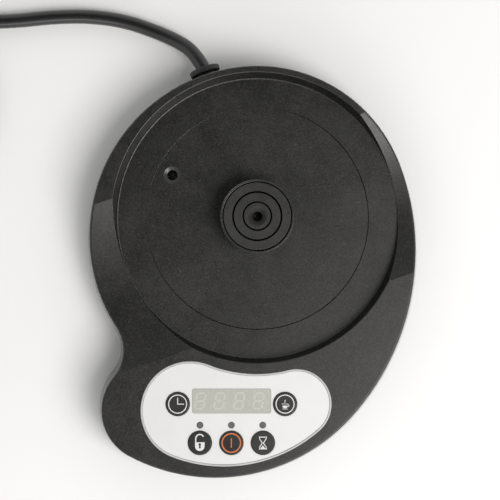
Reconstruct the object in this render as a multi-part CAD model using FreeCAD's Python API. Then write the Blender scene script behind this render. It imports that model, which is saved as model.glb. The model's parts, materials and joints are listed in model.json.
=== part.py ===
import FreeCAD, Part
import math
import os

# Cordless power base of an electric kettle: a snail-shaped housing with a round seat and a
# 360 degree connector for the jug, a control panel in front and a mains cord at the back.
# Origin: the connector's axis on the surface that the base stands on. +Z up, +Y to the back,
# millimetres.

# ---- seat and housing ----
SEAT_R = 70.4            # flat floor that the jug stands on
SEAT_Z = 18.0            # its height above the table
SEAT_STEP_R = 56.1       # the middle of the seat is a little lower inside this circle
SEAT_STEP = 0.4
RECESS_FLARE = 1.9       # how much wider the recess is at the deck than at the floor
RECESS_CORNER = 0.8      # rounding between the seat's floor and the recess's wall
RECESS_EDGE = 0.6        # rounding between that wall and the deck
RIM_W = 3.2              # flat rim between the recess and the outer edge, at the back
DECK_Z = 25.5            # flat top of the housing
SKIRT_Z = 3.0            # lower edge of the cover's side wall
SIDE_FLARE = 3.4         # the side wall leans out by this much from the deck to its lower edge
EDGE_R = 1.1             # rounding of the deck's outer edge
WALL = 2.2

# ---- outline: six tangent arcs, anticlockwise from the round back ----
BULGE_DIR = 97.5         # where the left bulge leaves the round back, degrees from +X
BULGE_EXTRA = 8.75       # radius beyond that of the round back
NOTCH_R = 21.0           # hollow between the bulge and the front lobe
LOBE_DIR = 241.7         # direction of the front lobe's centre
LOBE_OUT = 33.1          # that centre, beyond the round back
LOBE_R = 25.5
FRONT_R = 91.0
FLANK_DIR = 20.5         # where the right flank leaves the round back
FLANK_EXTRA = 47.0

# ---- scoop: a wide shallow cylinder cut across the housing ----
SCOOP_R = 120.0
SCOOP_TURN = 18.8        # its axis, degrees from +X
SCOOP_OFFSET = -9.5      # its lowest line, measured across the axis from the origin
SCOOP_RISE = 0.12        # its lowest line above the seat

# ---- jug connector ----
COLLAR_R = 18.2          # the ring of the cover that the jug's socket slips over
COLLAR_W = 1.2
COLLAR_H = 14.8          # above the seat
BOSS_R = 16.6            # insulating body of the connector, inside the collar
BOSS_RISE = 0.3          # its face above the collar
BOSS_BOTTOM_Z = 9.0
BOSS_FLANGE_R = 21.0
BOSS_FLANGE_T = 3.0
LIVE_SLOT_R = 11.9       # middle of each ring slot
LIVE_SLOT_W = 0.9
NEUTRAL_SLOT_R = 6.9
NEUTRAL_SLOT_W = 0.8
SLOT_DEPTH = 10.0
LAND_DROP = 0.6          # the land between the slots is this much lower
FUNNEL_R = 4.9
FUNNEL_DEPTH = 2.6
EARTH_HOLE_R = 2.4
EARTH_HOLE_DEPTH = 13.0
EARTH_DISC_R = 2.0       # contact set in the floor of the earth hole
EARTH_DISC_T = 0.8
CONTACT_T = 0.4
TAB_W = 4.0
TAB_END_Z = 5.0
RETAINER_R = 28.6
RETAINER_T = 2.0
RETAINER_SCREW_R = 24.6
CONTACT_DIRS = {"live": 305.0, "neutral": 65.0}
RETAINER_SCREW_DIRS = (10.0, 170.0, 265.0)

# ---- drain ----
DRAIN_X = -42.7
DRAIN_Y = 21.6
DRAIN_R = 2.6
DRAIN_SINK_R = 4.3
DRAIN_SINK_DEPTH = 0.9
DRAIN_TUBE_W = 1.6

# ---- base tray, feet and housing screws ----
TRAY_Z = 2.0
TRAY_T = 2.0
TRAY_LIP_H = 6.0
TRAY_LIP_T = 1.6
TRAY_GAP = 0.3           # between the tray and the inside of the cover's side wall
FOOT_R = 7.0
FOOT_SINK = 0.8
FOOT_GAP = 0.15
FOOT_ROUND = 0.6
POST_R = 3.8
POST_END_Z = 9.0
SCREW_R = 1.45
SCREW_FIT = 0.05
SCREW_HEAD_R = 3.0
SCREW_HEAD_H = 2.2
SCREW_GRIP = 8.0
HEAD_SINK = 3.4
# (distance inside the round back's radius or beyond it, direction) of each piece
REAR_POSTS = ((-11.5, 62.0), (-11.5, 135.0), (-11.5, 200.0), (-11.5, 348.0))
FRONT_POSTS = ((43.0, 236.5), (25.0, 297.5))
FOOT_PLACES = ((-17.5, 40.0), (-17.5, 168.0), (30.0, 244.0), (11.0, 303.0))
LABEL_L = 46.0
LABEL_W = 26.0
LABEL_T = 0.2
LABEL_CORNER = 2.0
LABEL_AT = (-8.0, -60.0)

# ---- control panel ----
PANEL_X = -12.7          # middle of the display
PANEL_OUT = 15.5         # in front of the round back's radius
PANEL_LEFT = (-20.6, -4.8, 24.5)     # centre from the display's middle, and radius
PANEL_RIGHT = (32.2, -1.5, 17.3)
PANEL_DIP_R = 65.0
PANEL_FRONT_R = 72.0
POCKET_DEPTH = 0.9
TRIM_GAP = 0.1
TRIM_W = 0.95
TRIM_RISE = 0.2
PLATE_GAP = 0.12
WINDOW_L = 38.9
WINDOW_W = 12.0
WINDOW_CORNER = 1.2
WINDOW_GAP = 0.1
WINDOW_LEDGE = 0.9
MODULE_L = 37.6
MODULE_W = 14.0
MODULE_DROP = 0.4

BUTTON_R = 5.875
BUTTON_GAP = 0.2
BUTTON_RISE = 0.6
BUTTON_ROUND = 0.45
BUTTON_FLANGE_R = 6.5
BUTTON_FLANGE_T = 0.9
BUTTON_STEM_R = 1.8
BUTTON_TRAVEL = 0.6
BUTTONS = {
    "clock": (-26.6, -1.5),
    "brew": (26.4, -1.5),
    "lock": (-15.65, -20.6),
    "power": (-0.1, -20.6),
    "timer": (15.45, -20.6),
}
LAMP_R = 1.6
LAMP_GAP = 0.1
LAMP_RISE = 0.1
LAMPS = ((-15.6, -11.9), (-0.1, -11.9), (15.4, -11.9))

# ---- control board ----
BOARD_T = 1.6
CONTROL_BOARD_Z = 13.0
CONTROL_BOARD_INSET = 2.2
SWITCH_L = 6.0
SWITCH_H = 3.5
PLUNGER_R = 1.7
PLUNGER_GAP = 0.1
PLUNGER_SEAT = 0.6       # floor of the switch's well above the board
PLUNGER_REST = 0.15      # room left under the plunger at full travel
BOARD_POST_R = 2.5
BOARD_SCREW_R = 1.1
BOARD_HEAD_R = 2.3
BOARD_HEAD_H = 1.6
BOARD_POSTS = ((-37.5, -7.5), (-27.0, 13.0), (40.5, -1.0), (7.7, -26.0))
LED_L = 2.4
LED_H = 1.6
CHIP_L = 12.0
CHIP_H = 1.6

# ---- power board, beside the seat on the right ----
POWER_OUT = -6.7         # its middle, from the round back's radius
POWER_DIR = 305.5
POWER_TURN = -29.0
POWER_L = 48.0
POWER_W = 40.0
POWER_BOARD_Z = 6.0
POWER_POSTS = ((-20.5, 16.5), (-21.0, -3.0), (20.5, 2.5))
RELAY = (15.0, -10.0, 15.0, 19.0, 14.0)          # place on the board, length, width, height
FILTER_CAPACITOR = (17.5, 12.5, 7.5, 14.0, 12.5)
TRANSFORMER = (1.0, -5.5, 11.0, 11.0, 7.0)
HEADER_L = 14.0
HEADER_W = 5.0
HEADER_H = 3.0
CAPACITOR_R = 4.0
CAPACITOR_H = 7.0
CAPACITOR_AT = (0.5, 5.5)
BUZZER_R = 6.0
BUZZER_H = 6.5
BUZZER_AT = (-10.5, 9.5)
RIBBON_T = 0.8
RIBBON_W = 12.0

# ---- mains entry ----
CORD_D = 7.3
EXIT_DIR = 109.5         # direction in which the cord leaves the housing
BUSH_OUT = 5.8           # outer face of the bush, beyond the round back's radius
BUSH_L = 24.3            # the whole bush, with its tapered tail inside
BUSH_FLANGE_R = 7.75
BUSH_FLANGE_T = 3.1
BUSH_NECK_W = 1.75       # rubber around the cord at the neck
BUSH_TAIL_W = 0.65       # and at the end of the tail
BUSH_GAP = 0.2
JACKET_L = 12.5          # bare cord inside the housing, beyond the bush
CLAMP_BACK = 6.5         # middle of the clamp, from the end of the bush
CLAMP_W = 6.0
CLAMP_T = 1.4
CLAMP_EAR = 6.0
CLAMP_GAP = 0.5          # between the clamp and the seat above it
CORE_L = 4.9             # bare cores between the jacket and the terminal block
TERMINAL_L = 22.0
TERMINAL_W = 8.0
TERMINAL_H = 9.0
WIRE_R = 1.1
WIRE_PITCH = 6.6

# ---- cord, lying on the table, and its put-away coil and plug ----
CORD_ROUTE = (
    (-31.9, 84.9, 8.8), (-39.5, 90.9, 6.1), (-51.2, 96.5, 4.1), (-67.4, 102.3, 3.7),
    (-86.3, 105.0, 3.7), (-106.0, 104.5, 3.7), (-124.4, 102.4, 3.7), (-142.4, 102.0, 3.7),
    (-160.0, 103.4, 3.7),
)
COIL_X = -183.0
COIL_Y = 60.5
COIL_MID_R = 39.65
CORD_TAIL = (
    (-203.6, 18.6, 9.6), (-197.6, 8.6, 11.6), (-194.9, -3.6, 14.6), (-194.4, -16.2, 17.4),
    (-194.5, -29.5, 18.4), (-194.5, -42.5, 18.4),
)
PLUG_R = 18.4
PLUG_L = 27.0
PLUG_SLEEVE_L = 24.0
PLUG_SLEEVE_R = 4.7
PLUG_NECK_R = 8.5
PLUG_PIN_R = 2.4
PLUG_PIN_L = 19.0
PLUG_PIN_PITCH = 19.0
PLUG_FLAT = 16.6
EARTH_CLIP_W = 5.0
EARTH_CLIP_T = 0.8

# ---- worked out from the above ----
RECESS_R = SEAT_R + RECESS_FLARE
RIM_R = RECESS_R + RIM_W
FLARE_RATE = SIDE_FLARE / (DECK_Z - SKIRT_Z)
CEILING_Z = DECK_Z - WALL
UNDER_SEAT_Z = SEAT_Z - WALL
POCKET_Z = DECK_Z - POCKET_DEPTH
FLOOR_Z = TRAY_Z + TRAY_T
BOSS_TOP_Z = SEAT_Z + COLLAR_H + BOSS_RISE
PANEL_Y = -(RIM_R + PANEL_OUT)
CONTROL_TOP_Z = CONTROL_BOARD_Z + BOARD_T
POWER_TOP_Z = POWER_BOARD_Z + BOARD_T
SWITCH_TOP_Z = CONTROL_TOP_Z + SWITCH_H
PLUNGER_LOW_Z = CONTROL_TOP_Z + PLUNGER_SEAT + PLUNGER_REST + BUTTON_TRAVEL
STEM_END_Z = SWITCH_TOP_Z + BUTTON_TRAVEL + PLUNGER_REST
CORD_R = CORD_D / 2
EXIT_Z = UNDER_SEAT_Z - CORD_R - CLAMP_T - CLAMP_GAP
BUSH_FACE = RIM_R + BUSH_OUT
BUSH_END = BUSH_FACE - BUSH_L
BUSH_NECK_R = CORD_R + BUSH_NECK_W
BUSH_END_R = CORD_R + BUSH_TAIL_W
CLAMP_AT = BUSH_END - CLAMP_BACK
JACKET_END = BUSH_END - JACKET_L
TERMINAL_AT = JACKET_END - CORE_L - TERMINAL_W / 2
PLUG_END = CORD_TAIL[-1]


# ---- geometry helpers ----
def at(x, y, z=0.0):
    return FreeCAD.Vector(x, y, z)


def polar(radius, degrees, z=0.0):
    turn = math.radians(degrees)
    return at(radius * math.cos(turn), radius * math.sin(turn), z)


def rod(radius, low, high, x=0.0, y=0.0):
    """Upright cylinder."""
    return Part.makeCylinder(radius, high - low, at(x, y, low))


def tube(outer, inner, low, high, x=0.0, y=0.0):
    return rod(outer, low, high, x, y).cut(rod(inner, low, high, x, y))


def block(length, width, low, high, x=0.0, y=0.0):
    """Upright box about x, y."""
    return Part.makeBox(length, width, high - low, at(x - length / 2, y - width / 2, low))


def lathe(profile):
    """Solid turned about the Z axis from closed points (radius, height)."""
    points = [at(r, 0, z) for r, z in profile]
    face = Part.Face(Part.makePolygon(points + points[:1]))
    return face.revolve(at(0, 0), at(0, 0, 1), 360)


def turned(shape, degrees, x=0.0, y=0.0):
    """Turn a shape made at the origin about Z, then move it to x, y."""
    moved = shape.copy()
    moved.rotate(at(0, 0), at(0, 0, 1), degrees)
    moved.translate(at(x, y))
    return moved


def joined(shapes):
    """One solid from overlapping or touching shapes."""
    return shapes[0].multiFuse(list(shapes[1:])).removeSplitter()


def centre_at(first, first_gap, second, second_gap, side):
    """The point at two given distances from two points, left (1) or right (-1) of the line."""
    line = second - first
    length = line.Length
    along = (first_gap**2 - second_gap**2 + length**2) / (2 * length)
    across = math.sqrt(first_gap**2 - along**2)
    line.normalize()
    return first + line * along + at(-line.y, line.x) * (side * across)


def outline(arcs, grow, z):
    """Closed wire of tangent arcs (centre, radius), a hollow's radius being negative."""
    radii = [radius + grow for _, radius in arcs]
    centres = [centre for centre, _ in arcs]
    count = len(arcs)
    joints = []
    for i in range(count):
        j = (i + 1) % count
        share = radii[i] / (radii[i] - radii[j])
        joints.append(centres[i] + (centres[j] - centres[i]) * share)
    edges = []
    for i in range(count):
        start, end, centre = joints[i - 1], joints[i], centres[i]
        first = math.atan2(start.y - centre.y, start.x - centre.x)
        last = math.atan2(end.y - centre.y, end.x - centre.x)
        sweep = (last - first) % (2 * math.pi)
        if radii[i] < 0:
            sweep -= 2 * math.pi
        middle = centre + polar(abs(radii[i]), math.degrees(first + sweep / 2))
        lifted = [at(p.x, p.y, z) for p in (start, middle, end)]
        edges.append(Part.Arc(*lifted).toShape())
    return Part.Wire(edges)


def drafted(arcs, low, low_grow, high, high_grow):
    """Solid between two outlines, one above the other."""
    return Part.makeLoft([outline(arcs, low_grow, low), outline(arcs, high_grow, high)], True, True)


def slab(arcs, grow, low, high):
    return Part.Face(outline(arcs, grow, low)).extrude(at(0, 0, high - low))


def rounded_block(length, width, corner, low, high, x, y):
    shape = block(length, width, low, high, x, y)
    upright = [e for e in shape.Edges if abs(e.tangentAt(e.FirstParameter).z) > 0.9]
    return shape.makeFillet(corner, upright)


def housing_arcs():
    rim = at(0, 0)
    bulge = polar(-BULGE_EXTRA, BULGE_DIR)
    bulge_r = RIM_R + BULGE_EXTRA
    flank = polar(-FLANK_EXTRA, FLANK_DIR)
    flank_r = RIM_R + FLANK_EXTRA
    lobe = polar(RIM_R + LOBE_OUT, LOBE_DIR)
    notch = centre_at(bulge, bulge_r + NOTCH_R, lobe, LOBE_R + NOTCH_R, -1)
    front = centre_at(lobe, FRONT_R - LOBE_R, flank, flank_r - FRONT_R, -1)
    return [
        (rim, RIM_R), (bulge, bulge_r), (notch, -NOTCH_R),
        (lobe, LOBE_R), (front, FRONT_R), (flank, flank_r),
    ]


def panel_arcs():
    left = at(PANEL_X + PANEL_LEFT[0], PANEL_Y + PANEL_LEFT[1])
    right = at(PANEL_X + PANEL_RIGHT[0], PANEL_Y + PANEL_RIGHT[1])
    left_r, right_r = PANEL_LEFT[2], PANEL_RIGHT[2]
    dip = centre_at(left, left_r + PANEL_DIP_R, right, right_r + PANEL_DIP_R, 1)
    front = centre_at(left, PANEL_FRONT_R - left_r, right, PANEL_FRONT_R - right_r, 1)
    return [(left, left_r), (front, PANEL_FRONT_R), (right, right_r), (dip, -PANEL_DIP_R)]


HOUSING = housing_arcs()
PANEL = panel_arcs()


def flare(z):
    """How far the side wall's outer face stands outside the deck's outline at height z."""
    return (DECK_Z - z) * FLARE_RATE


def ring_places(places):
    return [polar(RIM_R + out, degrees) for out, degrees in places]


def panel_places(places):
    return [at(PANEL_X + x, PANEL_Y + y) for x, y in places]


POSTS = ring_places(REAR_POSTS + FRONT_POSTS)
FEET = ring_places(FOOT_PLACES)
RETAINER_SCREWS = [polar(RETAINER_SCREW_R, turn) for turn in RETAINER_SCREW_DIRS]
CONTROL_POSTS = panel_places(BOARD_POSTS)
POWER_MIDDLE = polar(RIM_R + POWER_OUT, POWER_DIR)


# ---- housing ----
def recess_space():
    """Everything above the seat, out to the recess's wall, whose two edges are rounded."""
    high = DECK_Z + COLLAR_H + 10
    lean = RECESS_FLARE / (DECK_Z - SEAT_Z)
    low_z = SEAT_Z - SEAT_STEP
    foot = at(SEAT_R - RECESS_CORNER * (1 - lean), 0, SEAT_Z)
    wall_low = foot + at(RECESS_CORNER, 0, RECESS_CORNER)
    wall_high = at(RECESS_R - RECESS_EDGE * lean, 0, DECK_Z - RECESS_EDGE)
    lip = at(wall_high.x + RECESS_EDGE, 0, DECK_Z)
    short, far = 1 - math.sqrt(0.5), math.sqrt(0.5)
    points = [at(0, 0, low_z), at(SEAT_STEP_R - SEAT_STEP, 0, low_z), at(SEAT_STEP_R, 0, SEAT_Z), foot]
    edges = [Part.LineSegment(a, b).toShape() for a, b in zip(points, points[1:])]
    bend = foot + at(RECESS_CORNER * far, 0, RECESS_CORNER * short)
    edges.append(Part.Arc(foot, bend, wall_low).toShape())
    edges.append(Part.LineSegment(wall_low, wall_high).toShape())
    bend = wall_high + at(RECESS_EDGE * short, 0, RECESS_EDGE * far)
    edges.append(Part.Arc(wall_high, bend, lip).toShape())
    points = [lip, at(lip.x, 0, high), at(0, 0, high), at(0, 0, low_z)]
    edges += [Part.LineSegment(a, b).toShape() for a, b in zip(points, points[1:])]
    return Part.Face(Part.Wire(edges)).revolve(at(0, 0), at(0, 0, 1), 360)


def scoop(radius):
    """The cylinder of the scoop, or one of another radius on its axis."""
    half = 3 * RIM_R
    along = polar(1, SCOOP_TURN)
    across = at(-along.y, along.x)
    start = across * SCOOP_OFFSET - along * half + at(0, 0, SEAT_Z + SCOOP_RISE + SCOOP_R)
    return Part.makeCylinder(radius, 2 * half, start, along)


def exit_point(distance, across=0.0, z=EXIT_Z):
    out = polar(1, EXIT_DIR)
    return at(out.x * distance - out.y * across, out.y * distance + out.x * across, z)


def exit_rod(radius, start, end, end_radius=None):
    """Round piece on the cord's axis where it enters the housing."""
    out = polar(1, EXIT_DIR)
    if end_radius is None:
        return Part.makeCylinder(radius, end - start, exit_point(start), out)
    return Part.makeCone(radius, end_radius, end - start, exit_point(start), out)


def cover_skin():
    """Outer form of the cover with the scoop cut in, rounded along its edges, and the recess."""
    body = drafted(HOUSING, SKIRT_Z, flare(SKIRT_Z), DECK_Z, 0).cut(scoop(SCOOP_R))
    rim = []
    for edge in body.Edges:
        middle = edge.valueAt((edge.FirstParameter + edge.LastParameter) / 2)
        if edge.BoundBox.ZMin > SKIRT_Z + EDGE_R and abs(edge.tangentAt(edge.FirstParameter).z) < 0.8:
            rim.append(edge)
    return body.makeFillet(EDGE_R, rim).cut(recess_space())


def cover_hollow():
    low = SKIRT_Z - 1
    hollow = drafted(HOUSING, low, flare(low) - WALL, CEILING_Z, flare(CEILING_Z) - WALL)
    seat_shell = rod(RECESS_R + WALL, UNDER_SEAT_Z, DECK_Z)
    return hollow.cut(seat_shell).cut(scoop(SCOOP_R + WALL))


def top_cover():
    skin = cover_skin()
    shell = skin.cut(cover_hollow())
    collar = tube(COLLAR_R, COLLAR_R - COLLAR_W, UNDER_SEAT_Z, SEAT_Z + COLLAR_H)
    lip = [e for e in collar.Edges if e.BoundBox.ZMin > SEAT_Z + COLLAR_H - 0.01]
    collar = collar.makeFillet(COLLAR_W * 0.35, lip)
    added = [collar, rod(DRAIN_R + DRAIN_TUBE_W, FLOOR_Z + 1, UNDER_SEAT_Z + 1, DRAIN_X, DRAIN_Y)]
    for place in POSTS:
        added.append(rod(POST_R, POST_END_Z, CEILING_Z + 0.5, place.x, place.y).common(skin))
    for place in RETAINER_SCREWS:
        low = UNDER_SEAT_Z - BOSS_FLANGE_T
        added.append(rod(POST_R - 0.6, low, UNDER_SEAT_Z + 0.5, place.x, place.y))
    for place in CONTROL_POSTS:
        added.append(rod(BOARD_POST_R, CONTROL_TOP_Z, CEILING_Z + 0.5, place.x, place.y))
    cover = joined([shell] + added)

    cuts = [rod(COLLAR_R - COLLAR_W, UNDER_SEAT_Z - 1, DECK_Z + COLLAR_H)]
    cuts.append(rod(DRAIN_R, FLOOR_Z, SEAT_Z + 1, DRAIN_X, DRAIN_Y))
    sink_z = SEAT_Z - SEAT_STEP
    cuts.append(Part.makeCone(
        DRAIN_R, DRAIN_SINK_R, DRAIN_SINK_DEPTH, at(DRAIN_X, DRAIN_Y, sink_z - DRAIN_SINK_DEPTH)))
    for place in POSTS:
        top = FLOOR_Z + SCREW_GRIP + TRAY_T
        cuts.append(rod(SCREW_R + SCREW_FIT, POST_END_Z - 1, min(top, CEILING_Z), place.x, place.y))
    for place in RETAINER_SCREWS:
        low = UNDER_SEAT_Z - BOSS_FLANGE_T
        cuts.append(rod(SCREW_R + SCREW_FIT, low - 1, UNDER_SEAT_Z - 0.4, place.x, place.y))
    for place in CONTROL_POSTS:
        high = CONTROL_TOP_Z + SCREW_GRIP - 2
        cuts.append(rod(BOARD_SCREW_R + SCREW_FIT, CONTROL_TOP_Z - 1, high, place.x, place.y))
    cuts.append(slab(PANEL, 0, POCKET_Z, DECK_Z + 1))
    cuts.append(rounded_block(
        WINDOW_L - 2 * WINDOW_LEDGE, WINDOW_W - 2 * WINDOW_LEDGE, WINDOW_CORNER,
        CEILING_Z - 1, DECK_Z, PANEL_X, PANEL_Y))
    for place in panel_places(BUTTONS.values()):
        cuts.append(rod(BUTTON_R + BUTTON_GAP, CEILING_Z - 1, DECK_Z, place.x, place.y))
    for place in panel_places(LAMPS):
        cuts.append(rod(LAMP_R + LAMP_GAP, CEILING_Z - 1, DECK_Z, place.x, place.y))
    cuts.append(exit_rod(BUSH_NECK_R + BUSH_GAP, BUSH_END, BUSH_FACE))
    cuts.append(exit_rod(BUSH_FLANGE_R + BUSH_GAP, BUSH_FACE - BUSH_FLANGE_T, BUSH_FACE + 5))
    return cover.cut(cuts[0].multiFuse(cuts[1:]))


def base_tray():
    high = TRAY_Z + TRAY_LIP_H
    inset = WALL + TRAY_GAP
    tray = drafted(HOUSING, TRAY_Z, flare(TRAY_Z) - inset, high, flare(high) - inset)
    inset += TRAY_LIP_T
    tray = tray.cut(drafted(HOUSING, FLOOR_Z, flare(FLOOR_Z) - inset, high + 1, flare(high + 1) - inset))
    added = [tray]
    for place in POSTS:
        added.append(rod(POST_R + 1.4, FLOOR_Z - 0.5, POST_END_Z, place.x, place.y))
    for place in power_places(POWER_POSTS):
        added.append(rod(BOARD_POST_R, FLOOR_Z - 0.5, POWER_BOARD_Z, place.x, place.y))
    added.append(tube(DRAIN_R + DRAIN_TUBE_W + 2, DRAIN_R + DRAIN_TUBE_W + 0.4, FLOOR_Z - 0.5,
                      FLOOR_Z + 3, DRAIN_X, DRAIN_Y))
    added.append(clamp_seat())
    tray = joined(added)
    cuts = [rod(DRAIN_R + 0.6, TRAY_Z - 1, FLOOR_Z + 1, DRAIN_X, DRAIN_Y)]
    for place in POSTS:
        cuts.append(rod(SCREW_R + 0.25, TRAY_Z - 1, POST_END_Z + 1, place.x, place.y))
        cuts.append(rod(SCREW_HEAD_R + 0.4, TRAY_Z - 1, TRAY_Z + HEAD_SINK, place.x, place.y))
    for place in FEET:
        cuts.append(rod(FOOT_R + FOOT_GAP, TRAY_Z - 1, TRAY_Z + FOOT_SINK, place.x, place.y))
    for place in power_places(POWER_POSTS):
        cuts.append(rod(BOARD_SCREW_R + SCREW_FIT, FLOOR_Z - 1, POWER_BOARD_Z + 1, place.x, place.y))
    for place in clamp_screw_places():
        cuts.append(rod(SCREW_R + SCREW_FIT, FLOOR_Z - 1, DECK_Z, place.x, place.y))
    cuts.append(exit_rod(BUSH_FLANGE_R + BUSH_GAP, BUSH_END, BUSH_FACE + 5))
    return tray.cut(cuts[0].multiFuse(cuts[1:]))


def screw(place, head_z, up):
    """Pan-head screw driven upwards from head_z, up millimetres of shank above its head."""
    head = rod(SCREW_HEAD_R, head_z - SCREW_HEAD_H, head_z, place.x, place.y)
    rim = [e for e in head.Edges if e.BoundBox.ZMax < head_z - SCREW_HEAD_H + 0.01]
    head = head.makeFillet(0.7, rim)
    slot = block(4.0, 0.8, head_z - SCREW_HEAD_H, head_z - SCREW_HEAD_H + 1.2, place.x, place.y)
    cross = block(0.8, 4.0, head_z - SCREW_HEAD_H, head_z - SCREW_HEAD_H + 1.2, place.x, place.y)
    return head.fuse(rod(SCREW_R, head_z, head_z + up, place.x, place.y)).cut(slot).cut(cross)


def housing_screws():
    return [screw(place, TRAY_Z + HEAD_SINK, SCREW_GRIP) for place in POSTS]


def rubber_feet():
    feet = []
    for place in FEET:
        foot = rod(FOOT_R, 0, TRAY_Z + FOOT_SINK, place.x, place.y)
        sole = [e for e in foot.Edges if e.BoundBox.ZMax < 0.01]
        feet.append(foot.makeFillet(FOOT_ROUND, sole))
    return feet


def rating_label():
    return rounded_block(LABEL_L, LABEL_W, LABEL_CORNER, TRAY_Z - LABEL_T, TRAY_Z, *LABEL_AT)


# ---- jug connector ----
def tab_hole(radius, degrees, low, high, grow):
    shape = block(CONTACT_T + grow, TAB_W + grow, low, high, radius)
    return turned(shape, degrees)


def ring_piece(radius, thickness, degrees, low, high):
    """Part of a ring, 50 degrees long."""
    half = 25.0
    ring = tube(radius + thickness / 2, radius - thickness / 2, low, high)
    reach = radius + thickness
    corners = [at(0, 0, low), polar(reach * 1.2, degrees - half, low), polar(reach * 1.2, degrees + half, low)]
    wedge = Part.Face(Part.makePolygon(corners + corners[:1])).extrude(at(0, 0, high - low))
    return ring.common(wedge)


def connector_body():
    top = BOSS_TOP_Z
    land = top - LAND_DROP
    shape = lathe([
        (0, BOSS_BOTTOM_Z), (BOSS_R, BOSS_BOTTOM_Z), (BOSS_R, UNDER_SEAT_Z - BOSS_FLANGE_T),
        (BOSS_FLANGE_R, UNDER_SEAT_Z - BOSS_FLANGE_T), (BOSS_FLANGE_R, UNDER_SEAT_Z),
        (BOSS_R, UNDER_SEAT_Z), (BOSS_R, top - 0.4), (BOSS_R - 0.4, top),
        (LIVE_SLOT_R, top), (LIVE_SLOT_R, land), (NEUTRAL_SLOT_R, land), (NEUTRAL_SLOT_R, top),
        (FUNNEL_R, top), (EARTH_HOLE_R, top - FUNNEL_DEPTH), (EARTH_HOLE_R, top - EARTH_HOLE_DEPTH),
        (0, top - EARTH_HOLE_DEPTH),
    ])
    low = top - SLOT_DEPTH
    floor = top - EARTH_HOLE_DEPTH
    cuts = [rod(EARTH_DISC_R + 0.1, floor - EARTH_DISC_T, floor + 1)]
    for radius, width in ((LIVE_SLOT_R, LIVE_SLOT_W), (NEUTRAL_SLOT_R, NEUTRAL_SLOT_W)):
        cuts.append(tube(radius + width / 2, radius - width / 2, low, top + 1))
    cuts.append(tab_hole(LIVE_SLOT_R, CONTACT_DIRS["live"], BOSS_BOTTOM_Z - 1, low + 1, 0.2))
    cuts.append(tab_hole(NEUTRAL_SLOT_R, CONTACT_DIRS["neutral"], BOSS_BOTTOM_Z - 1, low + 1, 0.2))
    cuts.append(block(CONTACT_T + 0.2, TAB_W + 0.2, BOSS_BOTTOM_Z - 1, floor))
    return shape.cut(cuts[0].multiFuse(cuts[1:]))


def ring_contact(radius, degrees):
    low = BOSS_TOP_Z - SLOT_DEPTH
    leaf = ring_piece(radius, CONTACT_T, degrees, low, low + 4)
    tab = tab_hole(radius, degrees, TAB_END_Z, low + 1, 0)
    return leaf.fuse(tab).removeSplitter()


def earth_contact():
    floor = BOSS_TOP_Z - EARTH_HOLE_DEPTH
    low = floor - EARTH_DISC_T
    strip = block(CONTACT_T, TAB_W, TAB_END_Z, low + 0.1)
    return joined([rod(EARTH_DISC_R, low, floor), strip])


def connector_retainer():
    low = UNDER_SEAT_Z - BOSS_FLANGE_T - RETAINER_T
    plate = tube(RETAINER_R, BOSS_R + 0.3, low, low + RETAINER_T)
    for place in RETAINER_SCREWS:
        plate = plate.cut(rod(SCREW_R + 0.25, low - 1, low + RETAINER_T + 1, place.x, place.y))
    return plate


def connector_screws():
    head_z = UNDER_SEAT_Z - BOSS_FLANGE_T - RETAINER_T
    return [screw(place, head_z, RETAINER_T + BOSS_FLANGE_T - 0.5) for place in RETAINER_SCREWS]


# ---- control panel ----
def panel_trim():
    top = DECK_Z + TRIM_RISE
    ring = slab(PANEL, -TRIM_GAP, POCKET_Z, top).cut(slab(PANEL, -TRIM_GAP - TRIM_W, POCKET_Z, top))
    edges = [e for e in ring.Edges if e.BoundBox.ZMin > top - 0.01]
    return ring.makeFillet(0.3, edges)


def panel_plate():
    plate = slab(PANEL, -TRIM_GAP - TRIM_W - PLATE_GAP, POCKET_Z, DECK_Z)
    cuts = [rounded_block(WINDOW_L + 2 * WINDOW_GAP, WINDOW_W + 2 * WINDOW_GAP, WINDOW_CORNER,
                          POCKET_Z - 1, DECK_Z + 1, PANEL_X, PANEL_Y)]
    for place in panel_places(BUTTONS.values()):
        cuts.append(rod(BUTTON_R + BUTTON_GAP, POCKET_Z - 1, DECK_Z + 1, place.x, place.y))
    for place in panel_places(LAMPS):
        cuts.append(rod(LAMP_R + LAMP_GAP, POCKET_Z - 1, DECK_Z + 1, place.x, place.y))
    return plate.cut(cuts[0].multiFuse(cuts[1:]))


def display_window():
    return rounded_block(WINDOW_L, WINDOW_W, WINDOW_CORNER, POCKET_Z, DECK_Z, PANEL_X, PANEL_Y)


def display_module():
    top = CEILING_Z - MODULE_DROP
    return block(MODULE_L, MODULE_W, CONTROL_TOP_Z, top, PANEL_X, PANEL_Y)


def button_cap(place):
    top = DECK_Z + BUTTON_RISE
    flange_top = CEILING_Z - 0.2
    cap = rod(BUTTON_R, flange_top - BUTTON_FLANGE_T, top, place.x, place.y)
    rim = [e for e in cap.Edges if e.BoundBox.ZMin > top - 0.01]
    cap = cap.makeFillet(BUTTON_ROUND, rim)
    flange = rod(BUTTON_FLANGE_R, flange_top - BUTTON_FLANGE_T, flange_top, place.x, place.y)
    stem = rod(BUTTON_STEM_R, STEM_END_Z, flange_top, place.x, place.y)
    return joined([cap, flange, stem])


def switch_plunger(place):
    return rod(PLUNGER_R, PLUNGER_LOW_Z, STEM_END_Z, place.x, place.y)


def push_switches():
    switches = []
    for place in panel_places(BUTTONS.values()):
        case = block(SWITCH_L, SWITCH_L, CONTROL_TOP_Z, SWITCH_TOP_Z, place.x, place.y)
        well = rod(PLUNGER_R + PLUNGER_GAP, CONTROL_TOP_Z + PLUNGER_SEAT, SWITCH_TOP_Z + 1, place.x, place.y)
        switches.append(case.cut(well))
    return switches


def indicator_lenses():
    low = CONTROL_TOP_Z + LED_H
    return [rod(LAMP_R, low, DECK_Z + LAMP_RISE, p.x, p.y) for p in panel_places(LAMPS)]


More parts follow.
